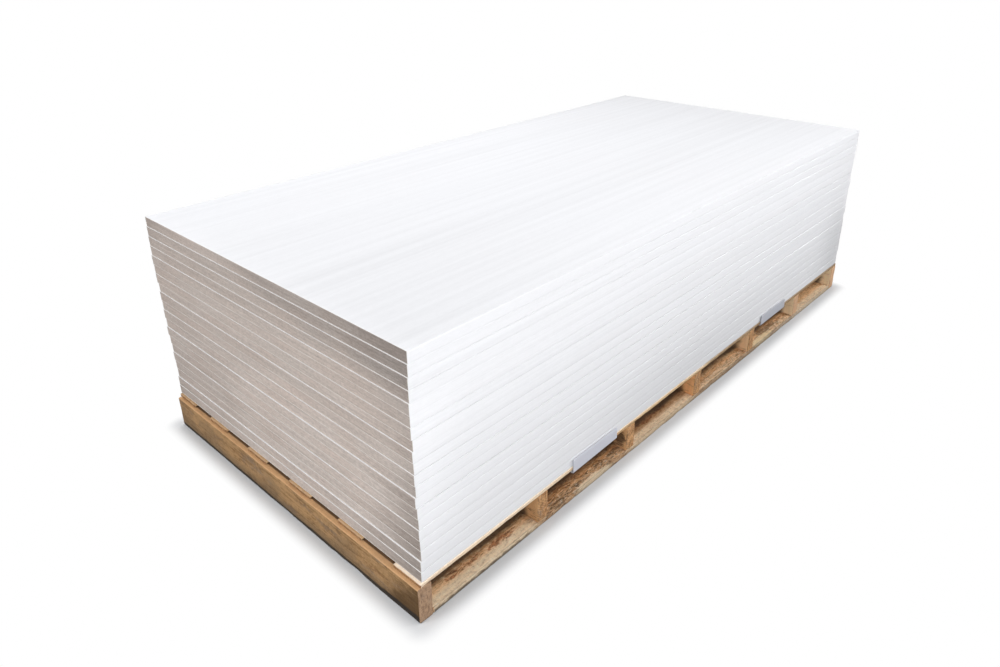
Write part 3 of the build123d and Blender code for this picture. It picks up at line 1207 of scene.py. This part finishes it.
class BOARDS_OT_edge_guards(bpy.types.Operator):
    """Make the folded card guards on the lower edge of the stack"""

    bl_idname = "boards.edge_guards"
    bl_label = "Card edge guards"

    def execute(self, context):
        looks = context.scene.guard_looks
        finish = card_finish(looks)
        for number, hanging in enumerate(HANGING, 1):
            self.guard(number, hanging, looks, finish)
        return {"FINISHED"}

    def guard(self, number, hanging, looks, finish):
        """One guard: a sheet of card with a rounded fold, carried along the pallet's side.

        The middle line of its section runs down the outer leg, round a quarter circle and
        inwards under the deck. Half the thickness on either side of it gives a closed loop,
        which shrinks onto the middle line at both ends. The outer leg bulges by smooth noise,
        its upper edge runs down towards the far end by the droop, and its fold hangs lower at
        the near end."""
        node = f"edge_guard_{number}"
        low, high = (np.array(corner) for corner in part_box(node))
        y_out = low[1] + GUARD_THICKNESS / 2 + FACE_CLEARANCE
        z_low = low[2] + GUARD_THICKNESS / 2 + FACE_CLEARANCE
        down = np.linspace(high[2] - EDGE_CLEARANCE, z_low + FOLD_RADIUS, LEG_POINTS)
        inwards = np.linspace(y_out + FOLD_RADIUS, high[1] - EDGE_CLEARANCE, INNER_POINTS)
        angles = np.linspace(0, np.pi / 2, FOLD_POINTS)[1:-1]
        line_y = np.concatenate([
            np.full(len(down), y_out),
            y_out + FOLD_RADIUS - FOLD_RADIUS * np.cos(angles),
            inwards,
        ])
        line_z = np.concatenate([
            down,
            z_low + FOLD_RADIUS - FOLD_RADIUS * np.sin(angles),
            np.full(len(inwards), z_low),
        ])
        line = np.stack([line_y, line_z], 1)
        run = np.gradient(line, axis=0)
        run /= np.linalg.norm(run, axis=1)[:, None]
        outwards = np.stack([run[:, 1], -run[:, 0]], 1)
        travel = np.concatenate([[0], np.cumsum(np.linalg.norm(np.diff(line, axis=0), axis=1))])

        whole = np.ones(len(line) - 2 * len(LEG_END_SHARES))
        share = np.concatenate([LEG_END_SHARES, whole, LEG_END_SHARES[::-1]])
        half_length = (high[0] - low[0]) / 2
        reach = half_length - EDGE_CLEARANCE
        along, insets = bar_rows(reach, GUARD_ROW_STEP, GUARD_RIM, [GUARD_THICKNESS / 2])
        half_thick = (GUARD_THICKNESS / 2 - insets)[:, None, None] * share[None, :, None]
        outer = line + outwards * half_thick
        inner = line - outwards * half_thick
        loops = np.concatenate([outer, inner[:, ::-1]], 1)[:, ::-1]
        walked = np.concatenate([travel, travel[::-1]])[::-1]
        along = np.repeat(along[:, None], loops.shape[1], 1)
        y, z = loops[..., 0], loops[..., 1]

        leg = np.clip((z - z_low) / (high[2] - z_low), 0, 1)
        far = np.clip(0.5 + along / (2 * half_length), 0, 1)
        flat_place = np.stack([along, 0 * along, z], -1)
        bulge = 0.5 + 0.5 * smooth_noise(flat_place, BULGE_LENGTH, GUARD_SEED + number)
        bulged = y + bulge * looks.wave * leg * 0.5
        hang = looks.hang * hanging
        hung = z - looks.droop * far * leg - hang * (1 - far) * (1 - leg)
        points = np.stack([along + (low[0] + high[0]) / 2, bulged, hung], -1)

        rng = np.random.default_rng(GUARD_SEED + number)
        offset = rng.uniform(-GUARD_SHIFT, GUARD_SHIFT, 3)
        from_fold = walked - travel[LEG_POINTS - 1] - RUBBED_FOLD
        fold = np.exp(-((from_fold / RUBBED_WIDTH) ** 2))
        from_end = half_length - np.abs(along)
        # The cut edges and ends are paler, partly from wear and partly as a painted highlight
        edge = np.exp(-walked / RUBBED_EDGE) + np.exp(-from_end / RUBBED_END)
        marks = {
            "sheet_place": np.stack([along, y, z], -1) + offset,
            "fold": np.clip(np.maximum(fold[None, :] * 0.9, edge), 0, 1),
        }
        strips = np.zeros(len(along) - 1, int)
        piece = skin(f"guard_{number}", points, strips, marks)
        settle(piece, [finish], node)


# Nails

# Distance of a nail from the middle of its board, and how far it strays from there
NAIL_OFFSET = 0.028
NAIL_STRAY = 0.004

# Rings of a nail head, from the wood down: radius and level
NAIL_SIDES = 14
NAIL_RINGS = ((0.0042, 0.0030), (0.0042, 0.0009), (0.0034, 0.0004))

# Levels of a nail head's lowest and highest point, and how far it may lean, as a slope
NAIL_LEVELS = (0.0003, 0.0030)
NAIL_LEAN = 0.02


class BOARDS_OT_nails(bpy.types.Operator):
    """Make the nail heads under the base boards"""

    bl_idname = "boards.nails"
    bl_label = "Nail heads"

    def execute(self, context):
        rng = np.random.default_rng(NAIL_SEED)
        spots = []
        for number in range(2, BEARER_COUNT):
            bearer, _ = half_sizes(f"pallet_bearer_{number}")
            for place in BASE_BOARDS:
                board, _ = half_sizes(f"pallet_base_board_{place}")
                for side in (-NAIL_OFFSET, NAIL_OFFSET):
                    spots.append((bearer[0], board[1] + side))
        spots = np.array(spots) + rng.uniform(-NAIL_STRAY, NAIL_STRAY, (len(spots), 2))
        points, faces = self.heads(spots, rng)
        mesh = bpy.data.meshes.new("nail_heads")
        mesh.from_pydata(points.tolist(), [], faces.tolist())
        mesh.polygons.foreach_set("use_smooth", np.ones(len(faces), bool))
        mesh.update()
        settle(put_in_scene("nail_heads", mesh), [nail_finish()])
        return {"FINISHED"}

    def heads(self, spots, rng):
        """Points and faces of all the heads: each one a shallow dome of three rings that
        faces the floor, closed by a point at its middle and by another above it."""
        sides = NAIL_SIDES
        turn = np.arange(sides) * 2 * np.pi / sides
        circle = np.stack([np.cos(turn), np.sin(turn)], 1)
        rings = np.concatenate([
            np.concatenate([circle * r, np.full((sides, 1), z)], 1) for r, z in NAIL_RINGS
        ])
        one = np.concatenate([rings, [[0, 0, level] for level in NAIL_LEVELS]])
        lean = rng.uniform(-NAIL_LEAN, NAIL_LEAN, (len(spots), 2))
        points = np.repeat(one[None], len(spots), 0)
        points[..., 2] += np.abs(points[..., :2] @ lean[..., None])[..., 0] * 0.5
        points[..., :2] += spots[:, None, :]
        ring = np.arange(sides)
        after = (ring + 1) % sides
        faces = []
        for row in range(len(NAIL_RINGS) - 1):
            lower = np.stack([ring, ring + sides, after + sides], 1) + row * sides
            upper = np.stack([ring, after + sides, after], 1) + row * sides
            faces += [lower, upper]
        bottom = np.stack([ring + 2 * sides, np.full(sides, 3 * sides), after + 2 * sides], 1)
        top = np.stack([ring, after, np.full(sides, 3 * sides + 1)], 1)
        faces = np.concatenate(faces + [bottom, top])
        shift = (np.arange(len(spots)) * len(one))[:, None, None]
        return points.reshape(-1, 3), (faces[None] + shift).reshape(-1, 3)


# Stage

CAMERA_PLACE = (-2.04714, -1.62907, 1.47824)
CAMERA_FORWARD = (0.674887, 0.618038, -0.403184)
CAMERA_RIGHT = (0.673202, -0.739429, -0.006597)
SENSOR_WIDTH = 36.0
SHIFT_X = -0.01426
SHIFT_Y = -0.06414
FARTHEST_SEEN = 200.0
FLOOR_HALF = 30.0
WHITE = (1.0, 1.0, 1.0)

# How far from the pallet the floor's shadow starts to fade, where it has gone, and how
# brightly the floor shows the light that falls on it
SHADOW_START = 0.004
SHADOW_END = 0.060
SHADOW_GAIN = (0.740, 0.755, 0.775)

# Soft lamps: name, place, what it faces, width and height in metres, and power in watts
LAMPS = (
    ("lamp_above", (0.2, 0.9, 3.0), (0.2, 0.3, 0.7), 3.0, 1.5, 45.5),
    ("lamp_over_near_end", (-1.9, 0.8, 2.9), (-0.8, 0.3, 0.7), 1.4, 1.0, 6.0),
    ("lamp_by_side", (0.1, -1.9, 1.25), (0.1, -0.6, 0.6), 3.0, 0.3, 20.3),
    ("lamp_by_corner", (-2.4, -2.2, 0.9), (-1.1, -0.6, 0.3), 0.8, 0.8, 25.0),
    ("lamp_by_far_corner", (2.6, -2.4, 2.2), (0.9, -0.6, 0.5), 1.2, 1.2, 40.0),
    ("lamp_by_end", (-4.2, 0.6, 2.0), (-1.2, 0.0, 0.35), 2.0, 1.6, 75.0),
    ("lamp_behind", (0.4, 3.2, 0.5), (0.0, 0.6, 0.4), 3.0, 0.8, 60.0),
    ("lamp_by_far_end", (4.0, 0.6, 0.5), (1.2, 0.0, 0.35), 2.0, 0.8, 60.0),
)


class BOARDS_OT_stage(bpy.types.Operator):
    """Make the floor, the lamps and the camera"""

    bl_idname = "boards.stage"
    bl_label = "Stage"

    def execute(self, context):
        looks = context.scene.stage_looks
        self.sky(looks)
        self.floor(looks)
        for name, place, target, wide, high, power in LAMPS:
            self.lamp(name, place, target, wide, high, power * looks.lamps)
        self.camera(looks)
        bpy.context.scene.view_settings.view_transform = "Standard"
        return {"FINISHED"}

    def seen(self, f):
        """1 for light that goes straight, by gloss or through glass to the camera."""
        kinds = ("Is Camera Ray", "Is Glossy Ray", "Is Transmission Ray")
        rays = [f.add("ShaderNodeLightPath", None, None, kind) for kind in kinds]
        return rays[0].larger(rays[1]).larger(rays[2])

    def sky(self, looks):
        """Even light from all round, which shows as plain white behind the object."""
        world = bpy.data.worlds.new("studio")
        bpy.context.scene.world = world
        f = Finish(world)
        white = rgb(WHITE)
        light = f.add("ShaderNodeBackground", None, {"Color": white, "Strength": looks.sky})
        shown = f.add("ShaderNodeBackground", None, {"Color": white, "Strength": 1.0})
        mixed = f.add("ShaderNodeMixShader", None, {0: self.seen(f), 1: light, 2: shown})
        f.add("ShaderNodeOutputWorld", None, {"Surface": mixed})

    def floor(self, looks):
        """A wide plain floor. Close to the object it takes its shadow, and further off it is
        as white as the background."""
        size = FLOOR_HALF
        corners = [(-size, -size, 0), (size, -size, 0), (size, size, 0), (-size, size, 0)]
        mesh = bpy.data.meshes.new("floor")
        mesh.from_pydata(corners, [], [(0, 1, 2, 3)])
        put_in_scene("floor", mesh)
        f = Finish(bpy.data.materials.new("floor_white"))
        x, y, _ = f.parts(f.here())
        out_x = (abs(x) - CAD_BOX[1][0]).larger(0.0)
        out_y = (abs(y) - CAD_BOX[1][1]).larger(0.0)
        away = f.fade(f.length(f.joined(out_x, out_y)), SHADOW_START, SHADOW_END)
        bounce = rgb([looks.floor_bounce] * 3)
        grey = f.add("ShaderNodeBsdfDiffuse", None, {"Color": bounce})
        lit = f.add("ShaderNodeBsdfDiffuse", None, {"Color": rgb(SHADOW_GAIN)})
        clear = f.add("ShaderNodeEmission", None, {"Color": rgb(WHITE), "Strength": 1.0})
        shown = f.add("ShaderNodeMixShader", None, {0: away, 1: lit, 2: clear})
        mixed = f.add("ShaderNodeMixShader", None, {0: self.seen(f), 1: grey, 2: shown})
        f.add("ShaderNodeOutputMaterial", None, {"Surface": mixed})
        mesh.materials.append(f.owner)

    def lamp(self, name, place, target, wide, high, power):
        """A rectangular soft lamp that faces its target."""
        data = bpy.data.lights.new(name, "AREA")
        data.shape = "RECTANGLE"
        data.size = wide
        data.size_y = high
        data.energy = power
        lamp = put_in_scene(name, data)
        lamp.location = place
        lamp.rotation_mode = "QUATERNION"
        towards = Vector(target) - Vector(place)
        lamp.rotation_quaternion = towards.to_track_quat("-Z", "Y")
        lamp.visible_camera = False

    def camera(self, looks):
        """The camera at the photograph's viewpoint."""
        data = bpy.data.cameras.new("camera")
        data.sensor_width = SENSOR_WIDTH
        data.lens = looks.lens
        data.shift_x = SHIFT_X
        data.shift_y = SHIFT_Y
        data.clip_end = FARTHEST_SEEN
        camera = put_in_scene("camera", data)
        right = Vector(CAMERA_RIGHT).normalized()
        forward = Vector(CAMERA_FORWARD).normalized()
        above = right.cross(forward).normalized()
        turn = Matrix((right, above, -forward)).transposed()
        camera.matrix_world = Matrix.Translation(CAMERA_PLACE) @ turn.to_4x4()
        bpy.context.scene.camera = camera


class BOARDS_PT_stack(bpy.types.Panel):
    """Lists the pieces of the stack"""

    bl_idname = "BOARDS_PT_stack"
    bl_label = "Stack of boards"
    bl_space_type = "VIEW_3D"
    bl_region_type = "UI"
    bl_category = "Boards"

    def draw(self, context):
        for step in STEPS:
            self.layout.operator(step.bl_idname)


# The operators in the order in which they run
STEPS = (
    BOARDS_OT_fire_boards,
    BOARDS_OT_bearers,
    BOARDS_OT_deck_boards,
    BOARDS_OT_base_boards,
    BOARDS_OT_edge_guards,
    BOARDS_OT_nails,
    BOARDS_OT_stage,
)

# The groups of settings, by the names that the scene gives them
GROUPS = {
    "board_looks": BoardLooks,
    "timber_looks": TimberLooks,
    "guard_looks": GuardLooks,
    "stage_looks": StageLooks,
}


def register():
    """Adds the settings, the operators and the panel."""
    for name, group in GROUPS.items():
        bpy.utils.register_class(group)
        setattr(bpy.types.Scene, name, bpy.props.PointerProperty(type=group))
    for step in STEPS:
        bpy.utils.register_class(step)
    bpy.utils.register_class(BOARDS_PT_stack)


def unregister():
    """Takes them away again."""
    bpy.utils.unregister_class(BOARDS_PT_stack)
    for step in reversed(STEPS):
        bpy.utils.unregister_class(step)
    for name, group in GROUPS.items():
        delattr(bpy.types.Scene, name)
        bpy.utils.unregister_class(group)


def main():
    register()
    bpy.ops.boards.fire_boards()
    bpy.ops.boards.bearers()
    bpy.ops.boards.deck_boards()
    bpy.ops.boards.base_boards()
    bpy.ops.boards.edge_guards()
    bpy.ops.boards.nails()
    bpy.ops.boards.stage()
    bpy.context.view_layer.update()


if __name__ == "__main__":
    main()
